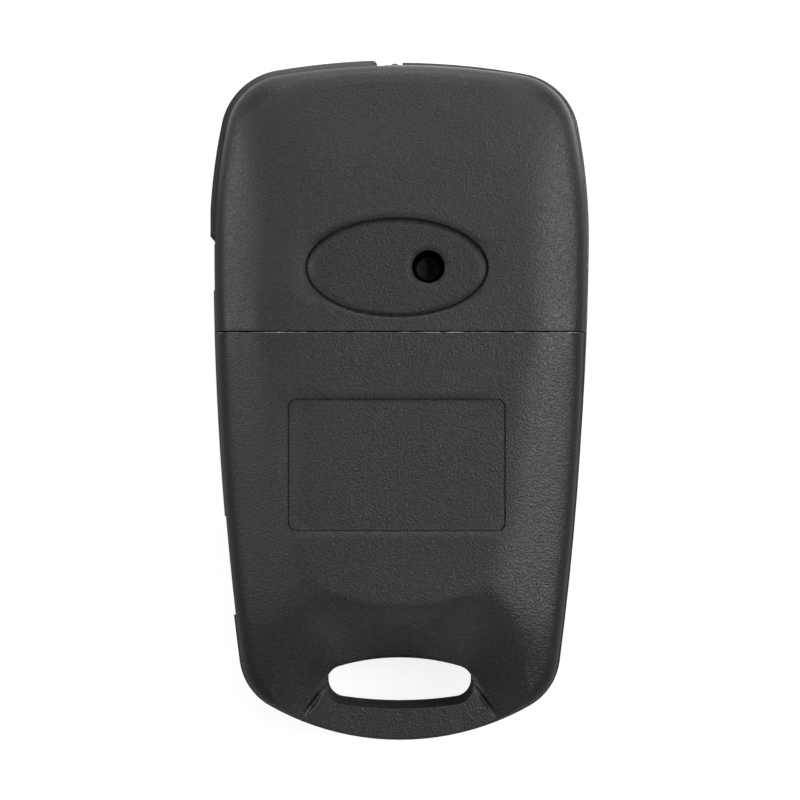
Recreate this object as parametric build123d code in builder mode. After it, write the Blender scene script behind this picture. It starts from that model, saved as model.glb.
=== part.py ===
from build123d import *
from math import radians, sqrt, tan
import os

# Flip remote key, lying on its front with the back face up.
# X runs across, Y runs along towards the blade end, Z runs up through the thickness.
# The origin is at the middle of the plan, on the plane of the front face. Millimetres.

os.makedirs("parts", exist_ok=True)

# Casing outline at the parting plane
half_width = 19.3
widest_y = 16.0
upper_side_radius = 60.0
lower_side_radius = 330.0
top_y = 34.6
bottom_y = -35.0
top_radius = 75.0
bottom_radius = 27.2
top_corner_radius = 6.8
bottom_corner_radius = 6.2

# Casing heights and walls
back_z = 15.6
parting_z = 8.6
side_draft = 7.3
shoulder_slope = 14.0
shoulder_reach = 15.0
shoulder_top_slope = 3.0
crease_width = 1.8
crease_steps = 3
rim_radius = 2.0
side_wall = 1.6
face_wall = 1.5
shoulder_wall = 2.8
cover_gap = 0.12
cover_inset = 0.1
cover_end_wall = 1.0
seat_gap = 0.05

# Flat field on both faces, with falling shoulders round it
shoulder_width = 5.1
shoulder_low_width = 7.3
shoulder_foot_width = 9.9
field_top_y = 25.8
field_top_radius = 6.0
field_waist_y = 7.3
field_low_y = -6.0
field_foot_y = -21.0
field_bottom_y = -25.0
field_corner_radius = 3.0

# Keyring scoop under a round tongue, and the slot in it
tongue_half_width = 9.4
tongue_radius = 18.2
tongue_y = -2.6
tongue_corner_radius = 7.5
scoop_depth = 3.6
scoop_ease = 0.8
scoop_rim_foot = 36.0
scoop_floor_foot = 12.6
scoop_corner_drop = 1.0
scoop_corner_radius = 4.5
scoop_overrun = 3.0
scoop_lead = 0.3
scoop_lead_share = 0.25
scoop_steps = 5
slot_half_width = 7.45
slot_top_y = -26.2
slot_bottom_y = -31.4
slot_top_sag = 1.3
slot_bottom_sag = 0.7
slot_corner_radius = 1.8

# Marks in the back face
split_y = 6.95
oval_x = -0.3
oval_y = 13.4
oval_length = 18.6
oval_height = 10.1
oval_depth = 0.4
oval_groove = 0.3
oval_groove_depth = 0.35
label_x = -0.3
label_y = -6.5
label_length = 22.0
label_height = 13.4
label_depth = 0.25
label_corner = 0.9
label_groove = 0.15
label_groove_depth = 0.15

# Casing screw
screw_x = 2.9
screw_y = 13.5
screw_hole_radius = 1.67
screw_head_radius = 1.5
screw_head_height = 1.1
screw_round = 0.4
screw_cross_length = 1.8
screw_cross_width = 0.45
screw_cross_depth = 0.65
screw_shank_radius = 0.85
screw_length = 6.0
screw_boss_radius = 2.6
screw_seat = 0.8
pilot_clearance = 0.03

# Flip pivot and head
pivot_inset = 9.9
pivot_y = 24.5
hub_radius = 8.8
hub_z = 3.6
hub_height = 8.4
hub_gap = 0.2
head_reach = 12.6
head_proud = 0.1
head_right = 7.1
head_corner_radius = 0.5
neck_width = 8.7
neck_length = 14.5
neck_z = 5.2
neck_height = 6.0
neck_round = 1.2
collar_radius = 7.2
collar_z = 2.0
fit = 0.05
cup_radius = 6.1
cup_floor = 1.6
spigot_radius = 3.0
spigot_reach = 0.5

# Key blade
blade_width = 8.0
blade_thickness = 2.3
blade_offset = 2.8
blade_root = 7.9
blade_tip = 46.0
blade_point = 2.6
blade_groove_width = 1.8
blade_groove_depth = 0.6
blade_groove_shift = 0.9
blade_groove_start = 1.0
blade_gap = 0.15
blade_slot_gap = 0.3
blade_tip_gap = 0.6
cut_depths = (0.9, 1.5, 0.6, 1.2, 1.8, 0.6, 1.2)
cut_pitch = 2.9
cut_first = 22.0
cut_flat = 0.4
pin_radius = 0.8
pin_from_pivot = 11.4
pin_chamfer = 0.15

# Release button
release_travel = 2.0
plunger_radius = 6.0
plunger_z = 1.9
plunger_height = 5.1
plunger_wall = 1.0
plunger_floor = 1.4
cap_radius = 5.6
cap_z = 0.3
cap_clearance = 0.1
cap_dish_depth = 0.3
cap_dish_radius = 4.8
cap_edge = 0.25
cap_stub_radius = 1.5
cap_stub = 1.0
lug_width = 2.4
lug_reach = 7.1
lug_height = 1.4
lug_slot_gap = 0.15
coil_radius = 4.2
coil_wire = 0.8
coil_turns = 4

# Electronics bay
bay_left_wall = 0.9
bay_top_y = 7.3
bay_bottom_y = -21.0
bay_ceiling_z = 12.7
board_z = 4.6
board_thickness = 1.0
board_gap = 0.3
post_radius = 1.3
post_pin_radius = 0.6
post_inset = 7.3
post_step = 0.4
post_high_y = 4.6
post_low_y = -18.6

# Buttons, silicone pad and switches
button_x = 0.6
button_y = -6.2
button_pitch = 8.6
button_width = 12.4
button_height = 7.2
button_corner = 1.6
button_round = 0.35
button_recess = 0.25
button_flange = 0.45
button_flange_height = 0.6
button_gap = 0.1
button_travel = 0.35
stem_radius = 1.3
stem_length = 0.95
pad_sheet = 0.4
pad_rim = 0.5
pad_hole_gap = 0.3
switch_size = 4.5
switch_height = 1.0
switch_corner = 0.4
switch_stem_radius = 0.9
switch_stem_length = 1.0
button_names = ("lock", "unlock", "trunk")

# Coin cell and its contacts
cell_x = 4.6
cell_y = -4.7
cell_radius = 10.0
cell_height = 3.2
cell_z = 6.3
cell_step = 0.5
cell_cap_inset = 1.2
cell_round = 0.3
contact_sheet = 0.3
contact_width = 5.0
contact_reach = 4.0
contact_foot = 0.8
leaf_width = 4.0
leaf_foot = 6.0
leaf_bend = 2.0
leaf_tip = 5.0

# Parts on the board
controller_x = 3.8
controller_length = 5.0
controller_width = 3.0
controller_height = 1.0
controller_standoff = 0.1
controller_edge = 0.15
leg_pitch = 1.1
leg_width = 0.4
leg_length = 1.2
leg_height = 0.35
legs_per_side = 4
parts_row_y = -18.35
crystal_x = 8.4
crystal_length = 3.2
crystal_width = 1.6
crystal_height = 0.8
crystal_corner = 0.3
coil_x = -3.2
tuning_coil_radius = 2.0
tuning_coil_height = 2.2
bobbin_waist = 1.6
bobbin_bore = 0.5
bobbin_flange = 0.4
component_inset = 1.1
component_width = 0.8
component_length = 1.6
component_height = 0.5
component_pitch = 2.2
component_count = 6
component_first_y = -9.0

# Transponder
transponder_inset = 8.3
transponder_y = 21.5
transponder_length = 11.0
transponder_width = 5.6
transponder_height = 2.8
transponder_end = 4.0
transponder_taper = 3.0
transponder_edge = 0.3
cradle_rib = 0.8
cradle_height = 2.0
cradle_gap = 0.15
cradle_inset = 2.0

# Trim strips, end rib, cover pins and prise notch
trim_low_z = 3.4
trim_high_z = 6.9
trim_proud = 0.25
trim_turn = 0.6
trim_depth = 0.7
trim_end_y = -12.0
trim_left_top_y = 7.2
trim_right_start_x = 0.3
trim_gap = 0.02
rib_radius = 0.55
rib_sink = 0.4
rib_x = -0.5
rib_height = 5.0
cover_pin_radius = 1.0
cover_pin_length = 2.2
cover_pin_inset = 7.7
cover_pin_y = -26.5
lip_thickness = 0.8
lip_depth = 1.2
lip_root = 0.3
lip_inset = 4.0
notch_y = -26.4
notch_length = 2.6
notch_depth = 0.5
notch_height = 1.2

# Values worked out from the sizes above
field_half_width = half_width - shoulder_width
field_low_half_width = half_width - shoulder_low_width
field_foot_half_width = half_width - shoulder_foot_width
pivot_x = pivot_inset - half_width
head_right_x = pivot_x + head_right
transponder_x = half_width - transponder_inset
cover_pin_x = half_width - cover_pin_inset
post_x = half_width - post_inset
post_places = ((post_x, post_high_y), (post_x - post_step, post_low_y))
pocket_radius = head_reach + hub_gap
neck_left_x = pivot_x - blade_offset - neck_width / 2 + fit
neck_right_x = neck_left_x + neck_width
neck_sweep = sqrt((pivot_x - neck_left_x) ** 2 + neck_length ** 2) + hub_gap
hub_top = hub_z + hub_height
cup_top = hub_top - cup_floor
pocket_floor = hub_z - hub_gap
pocket_ceiling = hub_top + hub_gap
seat_floor = collar_z - hub_gap
blade_z = parting_z - blade_thickness / 2
blade_x = pivot_x - blade_offset
groove_right_x = blade_x + blade_width / 2 + blade_slot_gap
groove_bottom_y = pivot_y - blade_tip - blade_tip_gap
bay_left_x = groove_right_x + bay_left_wall
component_x = bay_left_x + component_inset
board_top = board_z + board_thickness
flange_z = face_wall + seat_gap
button_z = button_recess
stem_z = flange_z + button_flange_height + stem_length
pad_z = flange_z + button_flange_height + button_travel + seat_gap * 3
switch_z = board_z - switch_height
button_places = [(button_x, button_y + button_pitch * row) for row in (1, 0, -1)]
reach_far = 60.0


def side_x(y, grow=0.0):
    radius = upper_side_radius if y > widest_y else lower_side_radius
    return half_width - radius + sqrt((radius + grow) ** 2 - (y - widest_y) ** 2)


def top_edge_y(x, grow=0.0):
    return top_y - top_radius + sqrt((top_radius + grow) ** 2 - x ** 2)


def bottom_edge_y(x, grow=0.0):
    return bottom_y + bottom_radius - sqrt((bottom_radius + grow) ** 2 - x ** 2)


def corner_point(edge_y, y, grow):
    for step in range(40):
        y = edge_y(side_x(y, grow), grow)
    return side_x(y, grow), y


def casing_outline(grow=0.0):
    # The outline of the casing, or a larger or smaller one with the same centres
    top_x, top_corner_y = corner_point(top_edge_y, top_y, grow)
    low_x, low_corner_y = corner_point(bottom_edge_y, bottom_y, grow)
    upper_mid = (top_corner_y + widest_y) / 2
    lower_mid = (low_corner_y + widest_y) / 2
    with BuildSketch() as plan:
        with BuildLine():
            ThreePointArc((-top_x, top_corner_y), (0, top_y + grow), (top_x, top_corner_y))
            ThreePointArc((low_x, low_corner_y), (0, bottom_y - grow), (-low_x, low_corner_y))
            for side in (1, -1):
                widest = (side * (half_width + grow), widest_y)
                upper = (side * side_x(upper_mid, grow), upper_mid)
                lower = (side * side_x(lower_mid, grow), lower_mid)
                ThreePointArc((side * top_x, top_corner_y), upper, widest)
                ThreePointArc(widest, lower, (side * low_x, low_corner_y))
        make_face()
        fillet(plan.vertices().group_by(Axis.Y)[-1], top_corner_radius + grow)
        fillet(plan.vertices().group_by(Axis.Y)[0], bottom_corner_radius + grow)
    return plan.sketch


def raised_field(reach=0.0):
    # The flat field, or the outline in which its shoulders end at a given reach
    top_run = reach * tan(radians(shoulder_slope)) / tan(radians(shoulder_top_slope))
    top = field_top_y + top_run
    side = [
        (field_half_width + reach, top),
        (field_half_width + reach, field_waist_y),
        (field_low_half_width + reach, field_low_y),
        (field_foot_half_width + reach, field_foot_y - reach / 2),
    ]
    low = (0, field_bottom_y - reach)
    with BuildSketch() as field:
        with BuildLine():
            Polyline(*side)
            Polyline(*[(-x, y) for x, y in side])
            Line((-side[0][0], top), side[0])
            ThreePointArc(side[-1], low, (-side[-1][0], side[-1][1]))
        make_face()
        fillet(field.vertices().group_by(Axis.Y)[-1], field_top_radius + reach)
        fillet(field.vertices().group_by(Axis.Y)[0], field_corner_radius + reach / 2)
    return field.sketch


def wall_inset(z):
    return abs(z - parting_z) * tan(radians(side_draft))


def casing_half(face_z, start_z, inset=0.0):
    # One half of the casing: drafted side walls, a flat field, falling shoulders, a round rim
    toward = 1 if face_z > parting_z else -1
    height = abs(face_z - start_z)
    fall = tan(radians(shoulder_slope))
    foot_z = face_z - toward * shoulder_reach * fall
    with BuildPart() as crown:
        for step in range(crease_steps + 1):
            run = crease_width * step / crease_steps
            with BuildSketch(Plane.XY.offset(face_z - toward * fall * run ** 2 / (2 * crease_width))):
                add(raised_field(run - crease_width / 2))
        with BuildSketch(Plane.XY.offset(foot_z)):
            add(raised_field(shoulder_reach))
        loft(ruled=True)
        with BuildSketch(Plane.XY.offset(foot_z)):
            add(raised_field(shoulder_reach))
        extrude(amount=-toward * height)
    with BuildPart() as half:
        for z in (start_z, face_z):
            with BuildSketch(Plane.XY.offset(z)):
                add(casing_outline(-wall_inset(z) - inset))
        loft(ruled=True)
        add(crown.part, mode=Mode.INTERSECT)
        walls = half.faces().filter_by(lambda face: abs(face.center().Z - start_z) > 0.1)
        walls = walls.filter_by(lambda face: reaches(face, start_z))
        rim = walls.edges().filter_by(lambda edge: abs(edge.center().Z - start_z) > 0.7 * height)
        fillet(rim, rim_radius)
    return half.part


def reaches(face, z):
    box = face.bounding_box()
    return min(abs(box.min.Z - z), abs(box.max.Z - z)) < 0.01


def scoop_plan(share):
    # An outline of the scoop, from the round tongue at share 0 to the top of the slot at share 1
    rim_y = tongue_y - tongue_radius
    rim_corner_y = tongue_y - sqrt(tongue_radius ** 2 - tongue_half_width ** 2)
    floor_y = slot_top_y - fit
    floor_corner_y = slot_top_y - scoop_corner_drop
    mid_y = rim_y + (floor_y - rim_y) * share
    corner_x = tongue_half_width + (slot_half_width - tongue_half_width) * share
    corner_y = rim_corner_y + (floor_corner_y - rim_corner_y) * share
    foot_x = scoop_rim_foot + (scoop_floor_foot - scoop_rim_foot) * share
    foot_y = bottom_y - scoop_overrun
    corner_radius = tongue_corner_radius + (scoop_corner_radius - tongue_corner_radius) * share
    with BuildSketch() as plan:
        with BuildLine():
            ThreePointArc((-corner_x, corner_y), (0, mid_y), (corner_x, corner_y))
            Polyline(
                (corner_x, corner_y), (foot_x, foot_y), (-foot_x, foot_y), (-corner_x, corner_y)
            )
        make_face()
        fillet(plan.vertices().group_by(Axis.Y)[-1], corner_radius)
    return plan.sketch


def keyring_scoop(face_z):
    # The hollow under the tongue, which falls ever steeper towards the keyring slot
    toward = 1 if face_z > parting_z else -1
    with BuildPart() as scoop:
        with BuildSketch(Plane.XY.offset(face_z + toward * scoop_lead * scoop_depth)):
            add(scoop_plan(-scoop_lead_share))
        for step in range(scoop_steps + 1):
            part_way = step / scoop_steps
            with BuildSketch(Plane.XY.offset(face_z - toward * scoop_depth * part_way)):
                add(scoop_plan(part_way ** scoop_ease))
        loft()
    return scoop.part


def keyring_slot():
    top_end = slot_top_y - slot_top_sag
    bottom_end = slot_bottom_y + slot_bottom_sag
    with BuildSketch() as slot:
        with BuildLine():
            ThreePointArc((-slot_half_width, top_end), (0, slot_top_y), (slot_half_width, top_end))
            ThreePointArc(
                (slot_half_width, bottom_end), (0, slot_bottom_y), (-slot_half_width, bottom_end)
            )
            for side in (1, -1):
                Line((side * slot_half_width, top_end), (side * slot_half_width, bottom_end))
        make_face()
        fillet(slot.vertices(), slot_corner_radius)
    return slot.sketch


def block(left, right, low, high):
    # A plain rectangle between two x values and two y values
    with BuildSketch() as area:
        with Locations(((left + right) / 2, (low + high) / 2)):
            Rectangle(right - left, high - low)
    return area.sketch


def electronics_bay(grow=0.0):
    with BuildSketch() as bay:
        add(casing_outline(-side_wall - wall_inset(0) + grow))
        area = block(bay_left_x - grow, reach_far, bay_bottom_y - grow, bay_top_y + grow)
        add(area, mode=Mode.INTERSECT)
    return bay.sketch


def upper_bay():
    # The hollow beside the pivot pocket, round the screw boss
    with BuildSketch() as bay:
        add(casing_outline(-side_wall - wall_inset(0)))
        add(block(pivot_x, reach_far, bay_top_y + side_wall, reach_far), mode=Mode.INTERSECT)
        with Locations((pivot_x, pivot_y)):
            Circle(pocket_radius + side_wall / 2, mode=Mode.SUBTRACT)
        with Locations((screw_x, screw_y)):
            Circle(screw_boss_radius, mode=Mode.SUBTRACT)
        add(block(pivot_x, screw_x, 0, screw_y + screw_boss_radius), mode=Mode.SUBTRACT)
    return bay.sketch


def pivot_circle(radius):
    with BuildSketch() as disc:
        with Locations((pivot_x, pivot_y)):
            Circle(radius)
    return disc.sketch


def neck_sweep_plan():
    # Room for the neck of the head as it swings out to the left and round to the top
    with BuildSketch() as room:
        add(block(-reach_far, neck_right_x + hub_gap, -reach_far, pivot_y))
        add(block(-reach_far, head_right_x + hub_gap, pivot_y, reach_far))
        add(pivot_circle(neck_sweep), mode=Mode.INTERSECT)
    return room.sketch


def blade_groove_plan():
    return block(-reach_far, groove_right_x, groove_bottom_y, pivot_y)


def trim_band(side, inner, outer):
    # A strip along the drafted side wall, which stands out more towards the top on the right
    turn = trim_turn if side > 0 else 0
    low_end = Axis((2 * half_width, trim_end_y, 0), (0, 0, 1))
    with BuildPart() as band:
        for z in (trim_low_z, trim_high_z):
            with BuildSketch(Plane.XY.offset(z)):
                add(casing_outline(outer - wall_inset(z)).rotate(low_end, -turn))
        loft(ruled=True)
        with BuildPart(mode=Mode.SUBTRACT):
            for z in (trim_low_z, trim_high_z):
                with BuildSketch(Plane.XY.offset(z)):
                    add(casing_outline(-inner - wall_inset(z)))
            loft(ruled=True)
    return band.part


def trim_reach(side, gap):
    # The stretch of the outline that a strip covers
    with BuildSketch() as area:
        if side > 0:
            add(block(trim_right_start_x - gap, reach_far, trim_end_y - gap, reach_far))
        else:
            add(block(-reach_far, 0, trim_end_y - gap, trim_left_top_y + gap))
    return area.sketch


def trim_strip(side, gap=0.0):
    with BuildPart() as strip:
        with BuildSketch(Plane.XY.offset(trim_low_z - gap)):
            add(trim_reach(side, gap))
        extrude(amount=trim_high_z - trim_low_z + 2 * gap)
        band = trim_band(side, trim_depth + gap, trim_proud + 3 * gap)
        add(band, mode=Mode.INTERSECT)
    return strip.part


# Front shell, with the button field, the pivot seat and the floor of the blade groove
with BuildPart() as front_shell:
    add(casing_half(0, parting_z))
    # Rounded rib on the top edge where the right-hand strip starts
    with BuildSketch(Plane.XY.offset(parting_z)):
        with Locations((rib_x, top_edge_y(rib_x) - rib_sink)):
            Circle(rib_radius)
    extrude(amount=-rib_height)
    # Board bay, stepped down inside the raised field for the silicone pad
    with BuildSketch(Plane.XY.offset(shoulder_wall)):
        add(electronics_bay())
    extrude(amount=parting_z, mode=Mode.SUBTRACT)
    pad_half_width = button_width / 2 + button_flange + button_gap + pad_rim
    pad_half_height = button_pitch + button_height / 2 + button_flange + button_gap + pad_rim
    with BuildSketch(Plane.XY.offset(face_wall)):
        with Locations((button_x, button_y)):
            Rectangle(2 * pad_half_width, 2 * pad_half_height)
    extrude(amount=parting_z, mode=Mode.SUBTRACT)
    # Upper bay and the transponder cradle in it
    with BuildSketch(Plane.XY.offset(shoulder_wall)):
        add(upper_bay())
    extrude(amount=parting_z, mode=Mode.SUBTRACT)
    rib_offset = transponder_width / 2 + cradle_gap + cradle_rib / 2
    with BuildSketch(Plane.XY.offset(shoulder_wall)):
        with Locations((transponder_x - rib_offset, transponder_y)):
            Rectangle(cradle_rib, transponder_length - cradle_inset)
        with Locations((transponder_x + rib_offset, transponder_y)):
            Rectangle(cradle_rib, transponder_length - 2 * cradle_inset)
    extrude(amount=cradle_height)
    # Pivot pocket, collar seat and the hole for the release button
    with BuildSketch(Plane.XY.offset(pocket_floor)):
        add(pivot_circle(pocket_radius))
    extrude(amount=parting_z, mode=Mode.SUBTRACT)
    with BuildSketch(Plane.XY.offset(seat_floor)):
        add(pivot_circle(collar_radius + fit))
    extrude(amount=parting_z, mode=Mode.SUBTRACT)
    with BuildSketch(Plane.XY.offset(-face_wall)):
        add(pivot_circle(cap_radius + cap_clearance))
    extrude(amount=parting_z, mode=Mode.SUBTRACT)
    # Room for the neck and the blade
    with BuildSketch(Plane.XY.offset(neck_z - hub_gap)):
        add(neck_sweep_plan())
    extrude(amount=parting_z, mode=Mode.SUBTRACT)
    with BuildSketch(Plane.XY.offset(blade_z - blade_gap)):
        add(blade_groove_plan())
    extrude(amount=parting_z, mode=Mode.SUBTRACT)
    # Button openings
    with BuildSketch(Plane.XY.offset(-face_wall)):
        with Locations(*button_places):
            RectangleRounded(
                button_width + 2 * button_gap, button_height + 2 * button_gap, button_corner
            )
    extrude(amount=parting_z, mode=Mode.SUBTRACT)
    # Keyring scoop and slot
    add(keyring_scoop(0), mode=Mode.SUBTRACT)
    with BuildSketch(Plane.XY.offset(-face_wall)):
        add(keyring_slot())
    extrude(amount=back_z, mode=Mode.SUBTRACT)
    # Board posts with their locating pins
    with BuildSketch(Plane.XY.offset(shoulder_wall)):
        with Locations(*post_places):
            Circle(post_radius)
    extrude(amount=board_z - shoulder_wall)
    with BuildSketch(Plane.XY.offset(board_z)):
        with Locations(*post_places):
            Circle(post_pin_radius)
    extrude(amount=board_thickness)
    # Screw pilot hole, sockets for the cover pins, trim grooves
    with BuildSketch(Plane.XY.offset(parting_z)):
        with Locations((screw_x, screw_y)):
            Circle(screw_shank_radius + pilot_clearance)
    extrude(amount=-screw_length, mode=Mode.SUBTRACT)
    with BuildSketch(Plane.XY.offset(parting_z)):
        with Locations((cover_pin_x, cover_pin_y), (-cover_pin_x, cover_pin_y)):
            Circle(cover_pin_radius + fit)
    extrude(amount=-cover_pin_length - hub_gap, mode=Mode.SUBTRACT)
    for side in (1, -1):
        add(trim_strip(side, trim_gap), mode=Mode.SUBTRACT)
front_shell.part.label = "front_shell"

# Chrome trim strips let into the sides of the front shell
trim_strips = {"chrome_trim_right": trim_strip(1), "chrome_trim_left": trim_strip(-1)}

# Upper back cover, with the oval seat, the screw well and the pivot spigot
with BuildPart() as upper_back_cover:
    add(casing_half(back_z, parting_z))
    with BuildSketch(Plane.XY):
        add(block(-reach_far, reach_far, split_y + cover_gap / 2, reach_far))
    extrude(amount=2 * back_z, mode=Mode.INTERSECT)
    with BuildSketch(Plane.XY.offset(parting_z)):
        add(upper_bay())
    extrude(amount=bay_ceiling_z - parting_z, mode=Mode.SUBTRACT)
    for ceiling, plan in (
        (pocket_ceiling, pivot_circle(pocket_radius)),
        (neck_z + neck_height + hub_gap, neck_sweep_plan()),
        (blade_z + blade_thickness + blade_gap, blade_groove_plan()),
    ):
        with BuildSketch(Plane.XY.offset(parting_z)):
            add(plan)
        extrude(amount=ceiling - parting_z, mode=Mode.SUBTRACT)
    with BuildSketch(Plane.XY.offset(pocket_ceiling)):
        add(pivot_circle(spigot_radius))
    extrude(amount=-(hub_gap + cup_floor + spigot_reach))
    with BuildSketch(Plane.XY.offset(back_z)):
        with Locations((oval_x, oval_y)):
            Ellipse(oval_length / 2, oval_height / 2)
    extrude(amount=-oval_depth, mode=Mode.SUBTRACT)
    with BuildSketch(Plane.XY.offset(back_z - oval_depth)):
        with Locations((oval_x, oval_y)):
            Ellipse(oval_length / 2, oval_height / 2)
            Ellipse(
                oval_length / 2 - oval_groove, oval_height / 2 - oval_groove, mode=Mode.SUBTRACT
            )
    extrude(amount=-oval_groove_depth, mode=Mode.SUBTRACT)
    with BuildSketch(Plane.XY.offset(back_z)):
        with Locations((screw_x, screw_y)):
            Circle(screw_hole_radius)
    extrude(amount=-(back_z - parting_z - screw_seat), mode=Mode.SUBTRACT)
    with BuildSketch(Plane.XY.offset(back_z)):
        with Locations((screw_x, screw_y)):
            Circle(screw_shank_radius + pilot_clearance + fit)
    extrude(amount=-back_z, mode=Mode.SUBTRACT)
upper_back_cover.part.label = "upper_back_cover"

# Lower back cover over the cell, which lifts straight off its pins
with BuildPart() as lower_back_cover:
    cover_z = parting_z + seat_gap
    add(casing_half(back_z, cover_z, cover_inset))
    with BuildSketch(Plane.XY):
        add(block(-reach_far, reach_far, -reach_far, split_y - cover_gap / 2))
    extrude(amount=2 * back_z, mode=Mode.INTERSECT)
    with BuildSketch(Plane.XY.offset(cover_z)):
        add(electronics_bay())
        end_wall = block(-reach_far, reach_far, split_y - cover_end_wall, reach_far)
        add(end_wall, mode=Mode.SUBTRACT)
    extrude(amount=bay_ceiling_z - cover_z, mode=Mode.SUBTRACT)
    with BuildSketch(Plane.XY.offset(cover_z)):
        add(blade_groove_plan())
    extrude(amount=blade_z + blade_thickness + blade_gap - cover_z, mode=Mode.SUBTRACT)
    add(keyring_scoop(back_z), mode=Mode.SUBTRACT)
    with BuildSketch(Plane.XY):
        add(keyring_slot())
    extrude(amount=back_z, mode=Mode.SUBTRACT)
    # Label recess
    with BuildSketch(Plane.XY.offset(back_z)):
        with Locations((label_x, label_y)):
            RectangleRounded(label_length, label_height, label_corner)
    extrude(amount=-label_depth, mode=Mode.SUBTRACT)
    with BuildSketch(Plane.XY.offset(back_z - label_depth)):
        with Locations((label_x, label_y)):
            RectangleRounded(label_length, label_height, label_corner)
            RectangleRounded(
                label_length - 2 * label_groove,
                label_height - 2 * label_groove,
                label_corner - label_groove,
                mode=Mode.SUBTRACT,
            )
    extrude(amount=-label_groove_depth, mode=Mode.SUBTRACT)
    # Lip that hangs inside the right-hand wall of the front shell
    lip_left = cell_x + cell_radius - lip_thickness
    lip_area = block(lip_left, reach_far, bay_bottom_y + lip_inset, split_y - lip_inset)
    for outer, drop in ((lip_root, 0), (-fit, lip_depth)):
        with BuildSketch(Plane.XY.offset(cover_z + lip_thickness)):
            add(electronics_bay(outer))
            add(electronics_bay(-fit - lip_thickness), mode=Mode.SUBTRACT)
            add(lip_area, mode=Mode.INTERSECT)
        extrude(amount=-lip_thickness - drop)
    # Pins in the bottom corners and the prise notch
    with BuildSketch(Plane.XY.offset(cover_z)):
        with Locations((cover_pin_x, cover_pin_y), (-cover_pin_x, cover_pin_y)):
            Circle(cover_pin_radius)
    extrude(amount=-cover_pin_length)
    notch_x = side_x(notch_y) - cover_inset
    with BuildSketch(Plane.XY.offset(cover_z)):
        with Locations((notch_x, notch_y)):
            Rectangle(2 * notch_depth, notch_length)
    extrude(amount=notch_height, mode=Mode.SUBTRACT)
lower_back_cover.part.label = "lower_back_cover"

# Flip head: a hub with a collar and a cup, a rim that follows the casing, and the blade neck
with BuildPart() as flip_head:
    with BuildSketch(Plane.XY.offset(hub_z)) as head_plan:
        add(casing_outline(head_proud))
        add(pivot_circle(head_reach), mode=Mode.INTERSECT)
        add(block(-half_width, head_right_x, -reach_far, reach_far), mode=Mode.INTERSECT)
        add(block(neck_right_x, reach_far, -reach_far, pivot_y), mode=Mode.SUBTRACT)
        fillet(head_plan.vertices().sort_by(Axis.Y)[-1], head_corner_radius)
        add(pivot_circle(hub_radius))
    extrude(amount=hub_height)
    with BuildSketch(Plane.XY.offset(neck_z)):
        add(block(neck_left_x, neck_right_x, pivot_y - neck_length, pivot_y))
    extrude(amount=neck_height)
    neck_end = flip_head.faces().sort_by(Axis.Y)[0]
    fillet(neck_end.edges().filter_by(Axis.X), neck_round)
    with BuildSketch(Plane.XY.offset(collar_z)):
        add(pivot_circle(collar_radius))
    extrude(amount=hub_z - collar_z)
    with BuildSketch(Plane.XY.offset(collar_z)):
        add(pivot_circle(cup_radius))
    extrude(amount=cup_top - collar_z, mode=Mode.SUBTRACT)
    with BuildSketch(Plane.XY.offset(collar_z)):
        add(pivot_circle(spigot_radius + fit))
    extrude(amount=back_z, mode=Mode.SUBTRACT)
    # Slots for the lugs of the release plunger
    with BuildSketch(Plane.XY.offset(collar_z)):
        with Locations((pivot_x, pivot_y)):
            Rectangle(lug_width + 2 * lug_slot_gap, 2 * (collar_radius + fit))
    slot_depth = lug_height + release_travel + hub_gap * 2
    extrude(amount=slot_depth, mode=Mode.SUBTRACT)
    # Socket for the blade root and the cross pin
    with BuildSketch(Plane.XY.offset(blade_z - fit / 2)):
        socket_top = pivot_y - blade_root + fit
        socket_half = blade_width / 2 + fit / 2
        add(block(blade_x - socket_half, blade_x + socket_half, -reach_far, socket_top))
    extrude(amount=blade_thickness + fit, mode=Mode.SUBTRACT)
    with BuildSketch(Plane.XY.offset(neck_z)):
        with Locations((blade_x, pivot_y - pin_from_pivot)):
            Circle(pin_radius + fit / 2)
    extrude(amount=neck_height, mode=Mode.SUBTRACT)
flip_head.part.label = "flip_head"

# Key blade, cut on both edges and grooved along both faces
with BuildPart() as key_blade:
    root_y = pivot_y - blade_root
    tip_y = pivot_y - blade_tip
    with BuildSketch(Plane.XY.offset(blade_z)) as blade_plan:
        add(block(blade_x - blade_width / 2, blade_x + blade_width / 2, tip_y, root_y))
        chamfer(blade_plan.vertices().group_by(Axis.Y)[0], blade_point)
        for count, depth in enumerate(cut_depths):
            cut_y = pivot_y - cut_first - cut_pitch * count
            for side in (1, -1):
                edge_x = blade_x + side * blade_width / 2
                deep_x = edge_x - side * depth
                with BuildLine():
                    Polyline(
                        (edge_x + side, cut_y + cut_pitch / 2 + 1),
                        (edge_x, cut_y + depth + cut_flat),
                        (deep_x, cut_y + cut_flat),
                        (deep_x, cut_y - cut_flat),
                        (edge_x, cut_y - depth - cut_flat),
                        (edge_x + side, cut_y - cut_pitch / 2 - 1),
                        close=True,
                    )
                make_face(mode=Mode.SUBTRACT)
    extrude(amount=blade_thickness)
    for low_z, shift in (
        (blade_z + blade_thickness - blade_groove_depth, -blade_groove_shift),
        (blade_z, blade_groove_shift),
    ):
        with BuildSketch(Plane.XY.offset(low_z)):
            left = blade_x + shift - blade_groove_width / 2
            high = pivot_y - neck_length - blade_groove_start
            add(block(left, left + blade_groove_width, -reach_far, high))
        extrude(amount=blade_groove_depth, mode=Mode.SUBTRACT)
    with BuildSketch(Plane.XY.offset(blade_z)):
        with Locations((blade_x, pivot_y - pin_from_pivot)):
            Circle(pin_radius + fit / 2)
    extrude(amount=blade_thickness, mode=Mode.SUBTRACT)
key_blade.part.label = "key_blade"

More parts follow.
